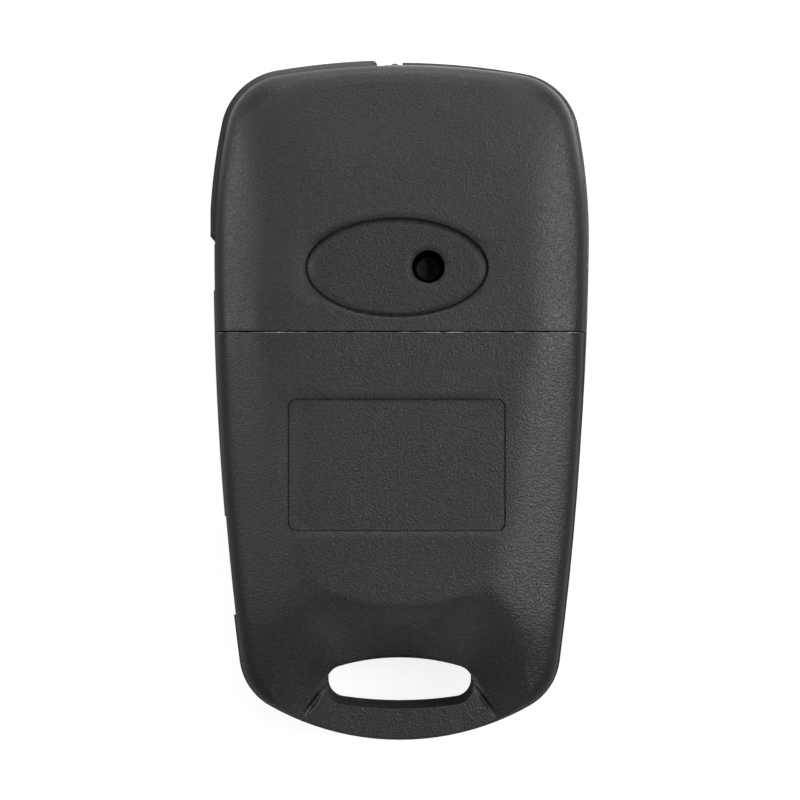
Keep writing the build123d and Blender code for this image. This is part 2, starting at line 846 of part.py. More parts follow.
# Roll pin through the neck and the blade
with BuildPart() as blade_roll_pin:
    with BuildSketch(Plane.XY.offset(neck_z)):
        with Locations((blade_x, pivot_y - pin_from_pivot)):
            Circle(pin_radius)
            Circle(pin_radius / 2, mode=Mode.SUBTRACT)
    extrude(amount=neck_height)
    chamfer(blade_roll_pin.edges().group_by(Axis.Z)[0].sort_by(SortBy.LENGTH)[-1], pin_chamfer)
    chamfer(blade_roll_pin.edges().group_by(Axis.Z)[-1].sort_by(SortBy.LENGTH)[-1], pin_chamfer)
blade_roll_pin.part.label = "blade_roll_pin"

# Release plunger, a cup with two lugs that run in the slots of the hub
with BuildPart() as release_plunger:
    with BuildSketch(Plane.XY.offset(plunger_z)):
        add(pivot_circle(plunger_radius))
    extrude(amount=plunger_height)
    with BuildSketch(Plane.XY.offset(plunger_z + hub_gap)):
        with Locations((pivot_x, pivot_y)):
            Rectangle(lug_width, 2 * lug_reach)
    extrude(amount=lug_height)
    with BuildSketch(Plane.XY.offset(plunger_z + plunger_floor)):
        add(pivot_circle(plunger_radius - plunger_wall))
    extrude(amount=plunger_height, mode=Mode.SUBTRACT)
    with BuildSketch(Plane.XY.offset(plunger_z)):
        add(pivot_circle(cap_stub_radius + fit / 2))
    extrude(amount=cap_stub + fit, mode=Mode.SUBTRACT)
release_plunger.part.label = "release_plunger"

# Release cap with a dished face
with BuildPart() as release_cap:
    pivot_plane = Plane(origin=(pivot_x, pivot_y, 0), x_dir=(1, 0, 0), z_dir=(0, -1, 0))
    with BuildSketch(pivot_plane):
        with BuildLine():
            ThreePointArc(
                (0, cap_z + cap_dish_depth),
                (cap_dish_radius / 2, cap_z + cap_dish_depth * 3 / 4),
                (cap_dish_radius, cap_z),
            )
            Polyline(
                (cap_dish_radius, cap_z),
                (cap_radius - cap_edge, cap_z),
                (cap_radius, cap_z + cap_edge),
                (cap_radius, plunger_z),
                (cap_stub_radius, plunger_z),
                (cap_stub_radius, plunger_z + cap_stub),
                (0, plunger_z + cap_stub),
                (0, cap_z + cap_dish_depth),
            )
        make_face()
    revolve(axis=Axis((pivot_x, pivot_y, 0), (0, 0, 1)))
release_cap.part.label = "release_cap"

# Torsion spring between the plunger and the floor of the hub cup
coil_low = plunger_z + plunger_floor + coil_wire / 2 + fit
coil_high = cup_top - coil_wire / 2 - fit
coil_pitch = (coil_high - coil_low) / coil_turns
with BuildPart() as torsion_spring:
    with BuildLine():
        Helix(coil_pitch, coil_high - coil_low, coil_radius, center=(pivot_x, pivot_y, coil_low))
    with BuildSketch(Plane(origin=(pivot_x + coil_radius, pivot_y, coil_low), z_dir=(0, 1, 0))):
        Circle(coil_wire / 2)
    sweep()
torsion_spring.part.label = "torsion_spring"

# Casing screw with a cross recess
with BuildPart() as casing_screw:
    head_z = parting_z + screw_seat
    with BuildSketch(Plane.XY.offset(head_z)):
        with Locations((screw_x, screw_y)):
            Circle(screw_head_radius)
    extrude(amount=screw_head_height)
    fillet(casing_screw.edges().group_by(Axis.Z)[-1], screw_round)
    with BuildSketch(Plane.XY.offset(head_z)):
        with Locations((screw_x, screw_y)):
            Circle(screw_shank_radius)
    extrude(amount=-screw_length)
    with BuildSketch(Plane.XY.offset(head_z + screw_head_height)):
        with Locations((screw_x, screw_y)):
            Rectangle(screw_cross_length, screw_cross_width)
            Rectangle(screw_cross_width, screw_cross_length)
    extrude(amount=-screw_cross_depth, mode=Mode.SUBTRACT)
casing_screw.part.label = "casing_screw"

# Circuit board
with BuildPart() as circuit_board:
    with BuildSketch(Plane.XY.offset(board_z)):
        add(electronics_bay(-board_gap))
        with Locations(*post_places):
            Circle(post_pin_radius + fit, mode=Mode.SUBTRACT)
    extrude(amount=board_thickness)
circuit_board.part.label = "circuit_board"

# Silicone pad: a thin sheet round the button stems, with a rim that carries the board
with BuildPart() as button_membrane:
    with BuildSketch(Plane.XY.offset(face_wall)):
        with Locations((button_x, button_y)):
            Rectangle(2 * pad_half_width - 2 * fit, 2 * pad_half_height - 2 * fit)
            Rectangle(
                2 * (pad_half_width - pad_rim), 2 * (pad_half_height - pad_rim), mode=Mode.SUBTRACT
            )
        add(electronics_bay(-fit), mode=Mode.INTERSECT)
    extrude(amount=board_z - face_wall)
    with BuildSketch(Plane.XY.offset(pad_z)):
        with Locations((button_x, button_y)):
            Rectangle(2 * pad_half_width - 2 * pad_rim, 2 * pad_half_height - 2 * pad_rim)
        with Locations(*button_places):
            Circle(stem_radius + pad_hole_gap, mode=Mode.SUBTRACT)
    extrude(amount=pad_sheet)
button_membrane.part.label = "button_membrane"

# Buttons, tact switches and their stems, one of each for lock, unlock and trunk
button_pieces = {}
for name, (x, y) in zip(button_names, button_places):
    with BuildPart() as button:
        with BuildSketch(Plane.XY.offset(button_z)):
            with Locations((x, y)):
                RectangleRounded(button_width, button_height, button_corner)
        extrude(amount=flange_z - button_z)
        fillet(button.edges().group_by(Axis.Z)[0], button_round)
        with BuildSketch(Plane.XY.offset(flange_z)):
            with Locations((x, y)):
                RectangleRounded(
                    button_width + 2 * button_flange, button_height + 2 * button_flange, button_corner
                )
        extrude(amount=button_flange_height)
        with BuildSketch(Plane.XY.offset(flange_z + button_flange_height)):
            with Locations((x, y)):
                Circle(stem_radius)
        extrude(amount=stem_length)
    button_pieces[name + "_button"] = button.part
    with BuildPart() as switch:
        with BuildSketch(Plane.XY.offset(switch_z)):
            with Locations((x, y)):
                RectangleRounded(switch_size, switch_size, switch_corner)
        extrude(amount=switch_height)
        with BuildSketch(Plane.XY.offset(switch_z)):
            with Locations((x, y)):
                Circle(switch_stem_radius + fit)
        extrude(amount=switch_height - fit, mode=Mode.SUBTRACT)
    button_pieces[name + "_switch"] = switch.part
    with BuildPart() as switch_stem:
        with BuildSketch(Plane.XY.offset(stem_z + fit)):
            with Locations((x, y)):
                Circle(switch_stem_radius)
        extrude(amount=switch_stem_length)
    button_pieces[name + "_switch_stem"] = switch_stem.part

# Coin cell: a can with a narrower cap on its underside
with BuildPart() as coin_cell:
    with BuildSketch(Plane.XY.offset(cell_z + cell_step)):
        with Locations((cell_x, cell_y)):
            Circle(cell_radius)
    extrude(amount=cell_height - cell_step)
    fillet(coin_cell.edges().group_by(Axis.Z)[-1], cell_round)
    with BuildSketch(Plane.XY.offset(cell_z)):
        with Locations((cell_x, cell_y)):
            Circle(cell_radius - cell_cap_inset)
    extrude(amount=cell_step)
coin_cell.part.label = "coin_cell"

# Contact strips of bent spring sheet
with BuildPart() as positive_contact:
    leg_y = cell_y - cell_radius - contact_sheet - fit
    cell_top = cell_z + cell_height
    with BuildSketch(Plane.YZ.offset(cell_x - contact_width / 2)):
        with BuildLine():
            Polyline(
                (leg_y - contact_foot, board_top),
                (leg_y + contact_sheet, board_top),
                (leg_y + contact_sheet, cell_top + fit),
                (leg_y + contact_reach, cell_top + fit),
                (leg_y + contact_reach, cell_top + fit + contact_sheet),
                (leg_y, cell_top + fit + contact_sheet),
                (leg_y, board_top + contact_sheet),
                (leg_y - contact_foot, board_top + contact_sheet),
                close=True,
            )
        make_face()
    extrude(amount=contact_width)
positive_contact.part.label = "positive_contact"

with BuildPart() as negative_contact:
    leaf_y = cell_y - leaf_width / 2
    with BuildSketch(Plane.XZ.offset(-leaf_y)):
        with BuildLine():
            rise = cell_z - board_top - contact_sheet
            Polyline(
                (cell_x - leaf_foot, board_top),
                (cell_x - leaf_bend, board_top),
                (cell_x + leaf_bend, board_top + rise),
                (cell_x + leaf_tip, board_top + rise),
                (cell_x + leaf_tip, cell_z),
                (cell_x + leaf_bend, cell_z),
                (cell_x - leaf_bend, board_top + contact_sheet),
                (cell_x - leaf_foot, board_top + contact_sheet),
                close=True,
            )
        make_face()
    extrude(amount=-leaf_width)
negative_contact.part.label = "negative_contact"

# Controller chip with its legs
with BuildPart() as controller_chip:
    with BuildSketch(Plane.XY.offset(board_top + controller_standoff)):
        with Locations((controller_x, parts_row_y)):
            Rectangle(controller_length, controller_width)
    extrude(amount=controller_height)
    chamfer(controller_chip.edges().group_by(Axis.Z)[-1], controller_edge)
    with BuildSketch(Plane.XY.offset(board_top)):
        with Locations((controller_x, parts_row_y)):
            with GridLocations(leg_pitch, controller_width + leg_width, legs_per_side, 2):
                Rectangle(leg_width, leg_length)
    extrude(amount=leg_height)
controller_chip.part.label = "controller_chip"

# Crystal can
with BuildPart() as crystal:
    with BuildSketch(Plane.XY.offset(board_top)):
        with Locations((crystal_x, parts_row_y)):
            RectangleRounded(crystal_length, crystal_width, crystal_corner)
    extrude(amount=crystal_height)
crystal.part.label = "crystal"

# Tuning coil: a bobbin with a waist of wire
with BuildPart() as tuning_coil:
    coil_plane = Plane(origin=(coil_x, parts_row_y, board_top), x_dir=(1, 0, 0), z_dir=(0, -1, 0))
    with BuildSketch(coil_plane):
        with BuildLine():
            Polyline(
                (bobbin_bore, 0),
                (tuning_coil_radius, 0),
                (tuning_coil_radius, bobbin_flange),
                (bobbin_waist, bobbin_flange),
                (bobbin_waist, tuning_coil_height - bobbin_flange),
                (tuning_coil_radius, tuning_coil_height - bobbin_flange),
                (tuning_coil_radius, tuning_coil_height),
                (bobbin_bore, tuning_coil_height),
                close=True,
            )
        make_face()
    revolve(axis=Axis((coil_x, parts_row_y, 0), (0, 0, 1)))
tuning_coil.part.label = "tuning_coil"

# Small chip components in a row along the left edge of the board
with BuildPart() as chip_components:
    with BuildSketch(Plane.XY.offset(board_top)):
        for count in range(component_count):
            with Locations((component_x, component_first_y + component_pitch * count)):
                Rectangle(component_width, component_length)
    extrude(amount=component_height)
chip_components.part.label = "chip_components"

# Transponder: a glass-filled wedge that tapers at one end
with BuildPart() as transponder_chip:
    low_y = transponder_y - transponder_length / 2
    high_y = transponder_y + transponder_length / 2
    with BuildSketch(Plane.XY.offset(shoulder_wall)):
        with BuildLine():
            Polyline(
                (transponder_x - transponder_width / 2, low_y),
                (transponder_x + transponder_width / 2, low_y),
                (transponder_x + transponder_width / 2, high_y - transponder_taper),
                (transponder_x + transponder_end / 2, high_y),
                (transponder_x - transponder_end / 2, high_y),
                (transponder_x - transponder_width / 2, high_y - transponder_taper),
                close=True,
            )
        make_face()
    extrude(amount=transponder_height)
    chamfer(transponder_chip.edges().group_by(Axis.Z)[-1], transponder_edge)
transponder_chip.part.label = "transponder_chip"

pieces = [
    front_shell,
    upper_back_cover,
    lower_back_cover,
    flip_head,
    key_blade,
    blade_roll_pin,
    release_plunger,
    release_cap,
    torsion_spring,
    casing_screw,
    circuit_board,
    button_membrane,
    coin_cell,
    positive_contact,
    negative_contact,
    controller_chip,
    crystal,
    tuning_coil,
    chip_components,
    transponder_chip,
]
for piece in pieces:
    export_step(piece.part, f"parts/{piece.part.label}.step")
for name, piece in {**trim_strips, **button_pieces}.items():
    piece.label = name
    export_step(piece, f"parts/{name}.step")
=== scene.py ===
# %% [markdown]
# # A flip remote key, seen from the back
#
# The object is a black plastic remote for a car, with its key blade folded away.
# It lies on its buttons, so the camera sees the two covers of its back.
# The shells, the blade and the electronics come from the CAD model as a fixed frame.
# Blender adds what CAD leaves plain: the finishes, the printed signs and the small fittings.

# %% Load the frame
import math
import random

import bmesh
import bpy
from mathutils import Matrix, Vector


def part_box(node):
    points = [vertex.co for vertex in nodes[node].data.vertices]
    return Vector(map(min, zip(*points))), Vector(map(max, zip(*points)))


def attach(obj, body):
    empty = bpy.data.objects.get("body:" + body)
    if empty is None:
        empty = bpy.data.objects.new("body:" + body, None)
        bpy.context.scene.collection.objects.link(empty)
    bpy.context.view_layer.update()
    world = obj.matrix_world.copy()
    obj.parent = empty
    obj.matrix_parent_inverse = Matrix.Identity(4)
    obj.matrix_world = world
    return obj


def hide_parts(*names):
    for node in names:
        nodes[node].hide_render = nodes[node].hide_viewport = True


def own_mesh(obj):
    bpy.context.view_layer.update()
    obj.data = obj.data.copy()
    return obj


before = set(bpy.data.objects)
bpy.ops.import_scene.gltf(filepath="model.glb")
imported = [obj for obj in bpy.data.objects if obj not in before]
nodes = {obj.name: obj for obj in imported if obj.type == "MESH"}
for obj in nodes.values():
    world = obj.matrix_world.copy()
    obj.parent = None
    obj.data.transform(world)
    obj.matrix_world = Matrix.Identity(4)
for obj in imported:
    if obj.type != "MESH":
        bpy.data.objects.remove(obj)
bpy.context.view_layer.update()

MM = 0.001
EMBLEM_X, EMBLEM_Y = -0.3, 13.4
EMBLEM_LENGTH, EMBLEM_HEIGHT = 18.6, 10.1
SPLIT_Y = 6.95

# %% [markdown]
# ## The camera
#
# The photograph looks straight down. Its distance isn't known, and about 0.3 m is assumed.
# A camera points along its own -Z with +Y up, so one that looks down needs no turning.
# The lens follows from the width that the picture shows at the height of the widest edge.

# %% Place the camera
EDGE_HEIGHT = 8.6 * MM
VIEW_WIDTH = 82.5 * MM
CAMERA_HEIGHT = 310.0 * MM
AIM_X, AIM_Y = 0.03 * MM, 0.05 * MM

scene = bpy.context.scene
camera = bpy.data.objects.new("camera", bpy.data.cameras.new("camera"))
scene.collection.objects.link(camera)
camera.location = (AIM_X, AIM_Y, CAMERA_HEIGHT)
camera.data.lens = camera.data.sensor_width * (CAMERA_HEIGHT - EDGE_HEIGHT) / VIEW_WIDTH
camera.data.clip_start, camera.data.clip_end = 0.01, 10.0
scene.camera = camera
scene.view_settings.view_transform = "Standard"
print("lens", round(camera.data.lens, 1), "mm")

# %% [markdown]
# ## Tools for node materials
#
# Every finish here is a set of patterns that feed one Principled shader.
# The patterns read Object coordinates, turned into millimetres,
# so that a grain size can be written as it would be measured on the real piece.

# %% Helpers for finishes
WAVE_PITCH = 0.314
ANY_HEIGHT = 1e6


class Finish:
    """One node material: patterns in millimetres that feed a Principled shader."""

    def __init__(self, name, colour, roughness, metallic=0.0, **sockets):
        self.material = bpy.data.materials.new(name)
        self.material.use_nodes = True
        self.nodes = self.material.node_tree.nodes
        self.links = self.material.node_tree.links
        self.shader = self.nodes["Principled BSDF"]
        self.set("Base Color", (*colour, 1.0))
        self.set("Roughness", roughness)
        self.set("Metallic", metallic)
        for socket, value in sockets.items():
            self.set(socket.replace("_", " "), value)
        self.space = self.node("ShaderNodeTexCoord").outputs["Object"]
        self.normal = None

    def set(self, socket, value):
        self.shader.inputs[socket].default_value = value

    def node(self, kind, settings=None, **inputs):
        made = self.nodes.new(kind)
        for key, value in (settings or {}).items():
            setattr(made, key, value)
        for key, value in inputs.items():
            self.feed(made.inputs[key.replace("_", " ")], value)
        return made

    def feed(self, socket, value):
        if isinstance(value, bpy.types.NodeSocket):
            self.links.new(value, socket)
        else:
            socket.default_value = value

    def millimetres(self, stretch=(1.0, 1.0, 1.0), centre=(0.0, 0.0, 0.0)):
        """The surface's place, with a pattern's middle moved to a centre given in millimetres."""
        scale = [1.0 / (MM * part) for part in stretch]
        move = [-place / part for place, part in zip(centre, stretch)]
        made = self.node("ShaderNodeMapping", Vector=self.space, Scale=scale, Location=move)
        return made.outputs["Vector"]

    def noise(self, size, detail=2.0, stretch=(1.0, 1.0, 1.0), twist=0.0):
        """A noise whose bumps are about one size wide; a twist bends them into short worms."""
        made = self.node(
            "ShaderNodeTexNoise",
            Vector=self.millimetres(stretch),
            Scale=1.0 / size,
            Detail=detail,
            Distortion=twist,
        )
        return made.outputs["Fac"]

    def cells(self, size, settings=None, stretch=(1.0, 1.0, 1.0)):
        """Cells about one size wide, with 0 at each middle."""
        space = self.millimetres(stretch)
        made = self.node("ShaderNodeTexVoronoi", settings, Vector=space, Scale=1.0 / size)
        return made.outputs["Distance"]

    def rings(self, pitch, centre, waver=0.0):
        """Rings about Z, one pitch apart: a wave of scale 1 repeats every pi / 10."""
        made = self.node(
            "ShaderNodeTexWave",
            {"wave_type": "RINGS", "rings_direction": "Z"},
            Vector=self.millimetres(centre=centre),
            Scale=WAVE_PITCH / pitch,
            Distortion=waver,
            Detail_Scale=3.0,
        )
        return made.outputs["Fac"]

    def spread(self, pattern, low, high, start=0.0, end=1.0, smooth=False):
        """Low where the pattern is at its start, high where it is at its end."""
        made = self.node(
            "ShaderNodeMapRange",
            {"interpolation_type": "SMOOTHSTEP" if smooth else "LINEAR"},
            Value=pattern,
            From_Min=start,
            From_Max=end,
            To_Min=low,
            To_Max=high,
        )
        return made.outputs["Result"]

    def blend(self, share, first, second):
        """A colour between two colours; a mix node keeps its colour sockets at 6 and 7."""
        made = self.node("ShaderNodeMix", {"data_type": "RGBA"})
        self.feed(made.inputs["Factor"], share)
        self.feed(made.inputs[6], (*first, 1.0) if isinstance(first, tuple) else first)
        self.feed(made.inputs[7], (*second, 1.0) if isinstance(second, tuple) else second)
        return made.outputs[2]

    def relief(self, pattern, depth, strength=1.0):
        """Adds a relief of a depth in millimetres on top of those before it."""
        made = self.node("ShaderNodeBump", Height=pattern, Strength=strength, Distance=depth * MM)
        if self.normal is not None:
            self.links.new(self.normal, made.inputs["Normal"])
        self.normal = made.outputs["Normal"]
        self.links.new(self.normal, self.shader.inputs["Normal"])

    def length(self, vector):
        return self.node("ShaderNodeVectorMath", {"operation": "LENGTH"}, Vector=vector).outputs["Value"]

    def place(self, axis):
        """The surface's place along one axis, in millimetres."""
        return self.node("ShaderNodeSeparateXYZ", Vector=self.millimetres()).outputs[axis]

    def inside(self, middle, half, core=0.985):
        """1 inside an upright ellipse in plan, fading to 0 between its core and its edge."""
        space = self.millimetres((*half, ANY_HEIGHT), (*middle, 0.0))
        return self.spread(self.length(space), 1.0, 0.0, core, 1.0, smooth=True)

    def streak(self, middle, half, turn):
        """1 along the middle of a thin ellipse that is turned in plan, 0 outside it."""
        moved = self.millimetres(centre=(*middle, 0.0))
        turned = self.node("ShaderNodeMapping", Vector=moved, Rotation=(0.0, 0.0, -turn))
        scale = (1.0 / half[0], 1.0 / half[1], 0.0)
        space = self.node("ShaderNodeMapping", Vector=turned.outputs["Vector"], Scale=scale)
        return self.spread(self.length(space.outputs["Vector"]), 1.0, 0.0, smooth=True)

    def larger(self, first, second):
        made = self.node("ShaderNodeMath", {"operation": "MAXIMUM"})
        self.feed(made.inputs[0], first)
        self.feed(made.inputs[1], second)
        return made.outputs["Value"]

    def mix(self, share, first, second):
        """A number between two numbers."""
        made = self.node("ShaderNodeMix", {"data_type": "FLOAT"})
        for place, value in ((0, share), (2, first), (3, second)):
            self.feed(made.inputs[place], value)
        return made.outputs[0]

    def soften(self, radius):
        """Rounds the look of every crease by a radius in metres, before any relief."""
        self.normal = self.node("ShaderNodeBevel", {"samples": 4}, Radius=radius).outputs["Normal"]

    def wire(self, socket, pattern):
        self.links.new(pattern, self.shader.inputs[socket])

    def put_on(self, *pieces):
        for piece in pieces:
            piece.data.materials.clear()
            piece.data.materials.append(self.material)
        print(self.material.name, "on", ", ".join(piece.name for piece in pieces))


# %% [markdown]
# ## The casing plastic
#
# The mould for such a casing is spark eroded, which leaves a fine pitted grain.
# One could paint the grain into the colour, but then it would not catch the light.
# Here a noise of two tenths of a millimetre makes a relief, which is weaker on the left,
# as it is in the photograph. Pale flecks in the tone stand for tips that catch the light.
# A bevel node rounds the look of the creases, by a radius that changes from place to place.

# %% Casing finish
BLACK = (0.0118, 0.0117, 0.0112)
FADED = (0.0155, 0.0153, 0.0147)
FLECK_GLINT = tuple(4.0 * part for part in FADED)
DARK_FOR_SEAT_AND_FOLD_SHADE = (0.004, 0.004, 0.004)
PAINTED_RIM_HIGHLIGHT_TONE = (0.085, 0.085, 0.082)
GRAIN_SIZE, FLECK_SIZE = 0.21, 0.17


def spark_grained(name, roughness, depth, crease):
    finish = Finish(name, BLACK, roughness, Specular_IOR_Level=0.45)
    finish.soften(crease(finish) if callable(crease) else crease * MM)
    grain = finish.noise(GRAIN_SIZE, detail=1.0, twist=0.5)
    strength = finish.spread(finish.place("X"), 0.4, 1.0, -16.0, -4.0, smooth=True)
    finish.relief(grain, depth, strength)
    matt = finish.spread(finish.noise(0.35), roughness - 0.05, roughness + 0.05, 0.3, 0.7)
    cloud = finish.spread(finish.noise(8.0, detail=3.0), 0.0, 1.0, 0.3, 0.7)
    # Pale flecks are painted highlights, for grain tips that catch the light
    fleck_glint = finish.spread(finish.noise(FLECK_SIZE, detail=1.0), 0.0, 0.3, 0.5, 0.78)
    tone = finish.blend(fleck_glint, finish.blend(cloud, BLACK, FADED), FLECK_GLINT)
    return finish, matt, tone


def cover_creases(finish):
    """Crease radii in metres: wide on the shoulders, crisp at the split, top edge and ring bar."""
    scoop_half, shoulder_half = (5.0, 7.0), (5.5, 36.0)
    wide = [finish.inside((side * 10.8, -21.8), scoop_half, 0.55) for side in (-1, 1)]
    wide += [finish.inside((side * 13.0, 8.0), shoulder_half, 0.5) for side in (-1, 1)]
    widest = finish.larger(finish.larger(*wide[:2]), finish.larger(*wide[2:]))
    radius = finish.mix(widest, 1.0 * MM, 3.6 * MM)
    by_split = finish.inside((0.0, SPLIT_Y), (1000.0, 4.0), 0.05)
    radius = finish.mix(by_split, radius, 0.12 * MM)
    by_top_edge = finish.inside((0.0, 35.0), (12.0, 4.5), 0.6)
    radius = finish.mix(by_top_edge, radius, 0.25 * MM)
    on_ring_bar = finish.spread(finish.place("Y"), 1.0, 0.0, -27.6, -25.6, smooth=True)
    return finish.mix(on_ring_bar, radius, 0.2 * MM)


cover_plastic, matt, tone = spark_grained("spark_grained_cover_plastic", 0.40, 0.055, cover_creases)
# The seat of the emblem is a little darker than the face round it
seat = cover_plastic.inside((EMBLEM_X, EMBLEM_Y), (EMBLEM_LENGTH / 2, EMBLEM_HEIGHT / 2))
# A narrow furrow marks the fold at each end of the ring bar, and the same streak darkens the colour there as
# painted shade
FOLD_X, FOLD_Y, FOLD_HALF, FOLD_TURN, FOLD_DEPTH = 8.7, -30.7, (0.42, 2.1), 0.6, 0.35
fold_furrows_and_shade = cover_plastic.larger(
    *[cover_plastic.streak((side * FOLD_X, FOLD_Y), FOLD_HALF, side * FOLD_TURN) for side in (-1, 1)]
)
cover_plastic.relief(cover_plastic.spread(fold_furrows_and_shade, 1.0, 0.0), FOLD_DEPTH)
# Painted shade: the fold streaks darken the colour towards the dark tone, and the emblem seat is a little
# darker too
shade = cover_plastic.larger(cover_plastic.mix(seat, 0.0, 0.45), fold_furrows_and_shade)
cover_plastic.wire("Base Color", cover_plastic.blend(shade, tone, DARK_FOR_SEAT_AND_FOLD_SHADE))
cover_plastic.wire("Roughness", matt)
cover_plastic.put_on(nodes["upper_back_cover"], nodes["lower_back_cover"])

for name, roughness, depth, crease, piece in (
    ("spark_grained_shell_plastic", 0.45, 0.04, 0.7, "front_shell"),
    ("spark_grained_head_plastic", 0.42, 0.03, 0.9, "flip_head"),
):
    finish, matt, tone = spark_grained(name, roughness, depth, crease)
    # The far rim is paler towards the top edge: its paler tone is a painted highlight for the light it
    # reflects there
    painted_rim_highlight = finish.spread(finish.place("Y"), 0.0, 0.8, 27.0, 34.0, smooth=True)
    finish.wire("Base Color", finish.blend(painted_rim_highlight, tone, PAINTED_RIM_HIGHLIGHT_TONE))
    finish.wire("Roughness", matt)
    finish.put_on(nodes[piece])

# %% [markdown]
# ## The chrome
#
# The side strips and the release cap are plated plastic. Plating copies the moulding
# below it, so it never shines like glass: it is slightly wavy and has hair-fine scratches.
# A low relief with waves of 1.4 mm makes it uneven, and a stretched noise breaks the gloss.

# %% Chrome finish
chrome = Finish("plated_chrome", (0.76, 0.77, 0.78), 0.12, metallic=1.0)
chrome.relief(chrome.noise(1.4), 0.02, 0.5)
hairs = chrome.noise(0.05, detail=4.0, stretch=(1.0, 14.0, 1.0))
chrome.wire("Roughness", chrome.spread(hairs, 0.07, 0.24, 0.35, 0.75))
chrome.wire("Base Color", chrome.blend(chrome.noise(5.0), (0.72, 0.73, 0.745), (0.8, 0.805, 0.81)))
chrome.put_on(nodes["chrome_trim_right"], nodes["chrome_trim_left"], nodes["release_cap"])

# %% [markdown]
# ## The metals inside
#
# Sheet, wire and milled metal differ in the direction of their marks.
# A mark is a noise drawn out along one axis: along Y on the blade and along X on rolled sheet.
# One helper makes them all from a size, a direction and a pair of tones.

# %% Worked metals
MARK_DEPTH = 0.0012
along_x, along_y, along_z = (24.0, 1.0, 1.0), (1.0, 36.0, 1.0), (1.0, 1.0, 8.0)
even = (1.0, 1.0, 1.0)


def worked_metal(name, dark, light, roughness, size, stretch):
    finish = Finish(name, light, roughness, metallic=1.0)
    marks = finish.noise(size, detail=4.0, stretch=stretch)
    finish.relief(marks, MARK_DEPTH)
    finish.wire("Roughness", finish.spread(marks, roughness - 0.05, roughness + 0.08, 0.3, 0.7))
    finish.wire("Base Color", finish.blend(finish.noise(2.5, detail=3.0), dark, light))
    return finish


# %% Metals on the blade, pin, spring and screw
blade_metal = worked_metal("milled_nickel_silver", (0.5, 0.49, 0.46), (0.64, 0.63, 0.6), 0.28, 0.06, along_y)
blade_metal.put_on(nodes["key_blade"])
pin_steel = worked_metal("ground_pin_steel", (0.4, 0.4, 0.4), (0.52, 0.52, 0.51), 0.25, 0.05, along_z)
pin_steel.put_on(nodes["blade_roll_pin"])
spring_wire = worked_metal("drawn_spring_wire", (0.27, 0.27, 0.28), (0.4, 0.4, 0.41), 0.3, 0.05, even)
screw_steel = worked_metal(
    "blackened_screw_steel", (0.02, 0.02, 0.021), (0.045, 0.044, 0.043), 0.42, 0.08, even
)
screw_steel.put_on(nodes["casing_screw"])

# %% Metals on the switches and contacts
switch_cover = worked_metal(
    "tinned_switch_cover", (0.55, 0.55, 0.54), (0.67, 0.67, 0.66), 0.34, 0.07, along_x
)
switch_cover.put_on(nodes["lock_switch"], nodes["unlock_switch"], nodes["trunk_switch"])
contact_sheet = worked_metal(
    "nickel_plated_spring_sheet", (0.6, 0.57, 0.5), (0.74, 0.72, 0.66), 0.22, 0.05, along_x
)
contact_sheet.put_on(nodes["positive_contact"], nodes["negative_contact"])

# %% [markdown]
# ## The cell
#
# The can of a coin cell is turned while it is brushed, so its marks are rings about its middle.
# A wave texture makes rings when its space is moved to the middle of the can.

# %% Cell finish
low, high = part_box("coin_cell")
cell_middle = tuple(part / MM for part in (low + high) / 2)
cell_steel = Finish("brushed_cell_can", (0.68, 0.68, 0.67), 0.24, metallic=1.0)
turned = cell_steel.rings(0.12, cell_middle, waver=0.4)
cell_steel.relief(turned, 0.0008)
cell_steel.wire("Roughness", cell_steel.spread(cell_steel.noise(0.4), 0.16, 0.32, 0.3, 0.7))
cell_steel.wire("Base Color", cell_steel.blend(turned, (0.6, 0.6, 0.59), (0.72, 0.72, 0.71)))
cell_steel.put_on(nodes["coin_cell"])
print("cell middle at", [round(part, 2) for part in cell_middle], "mm")

# %% [markdown]
# ## Smooth mouldings and rubber
#
# The keys, the plunger and the silicone pad are softer and smoother than the casing.
# Each gets a tone of its own, a faint grain and, on the pad, a little light below the skin.
# One helper makes them all, and passes the shader's own sockets on by name.

# %% Plastics and silicone
def smooth_plastic(name, dark, light, roughness, grain=0.12, depth=0.006, **sockets):
    finish = Finish(name, dark, roughness, **sockets)
    fine = finish.noise(grain, detail=3.0)
    finish.relief(fine, depth)
    finish.relief(finish.noise(2.0), 0.015, 0.4)
    finish.wire("Roughness", finish.spread(fine, roughness - 0.05, roughness + 0.07, 0.3, 0.7))
    finish.wire("Base Color", finish.blend(finish.noise(3.0, detail=3.0), dark, light))
    return finish


# %% Smooth pieces
key_plastic = smooth_plastic(
    "satin_key_plastic", (0.019, 0.019, 0.019), (0.024, 0.024, 0.023), 0.4, 0.18, 0.02
)
key_plastic.put_on(nodes["lock_button"], nodes["unlock_button"], nodes["trunk_button"])
acetal = smooth_plastic("waxy_acetal", (0.045, 0.045, 0.046), (0.056, 0.056, 0.056), 0.3)
acetal.put_on(nodes["release_plunger"])
nylon = smooth_plastic("switch_nylon", (0.02, 0.02, 0.02), (0.028, 0.027, 0.026), 0.38)
nylon.put_on(nodes["lock_switch_stem"], nodes["unlock_switch_stem"], nodes["trunk_switch_stem"])
below_skin = {"Subsurface_Weight": 0.15, "Subsurface_Scale": 0.001}
silicone = smooth_plastic(
    "grey_silicone", (0.085, 0.087, 0.09), (0.105, 0.107, 0.11), 0.55, 0.3, 0.01, **below_skin
)
silicone.put_on(nodes["button_membrane"])
epoxy = smooth_plastic("epoxy_wedge", (0.017, 0.017, 0.018), (0.025, 0.025, 0.026), 0.32, 0.25, 0.012)
epoxy.put_on(nodes["transponder_chip"])

# %% [markdown]
# ## The circuit board
#
# Green solder mask lies over sheets of copper, whose edges show as a change of tone.
# The cells of a Chebychev voronoi have square outlines, much as such sheets have. They are
# used twice, for the tone and for a low relief. The tracks are pieces of their own, further on.

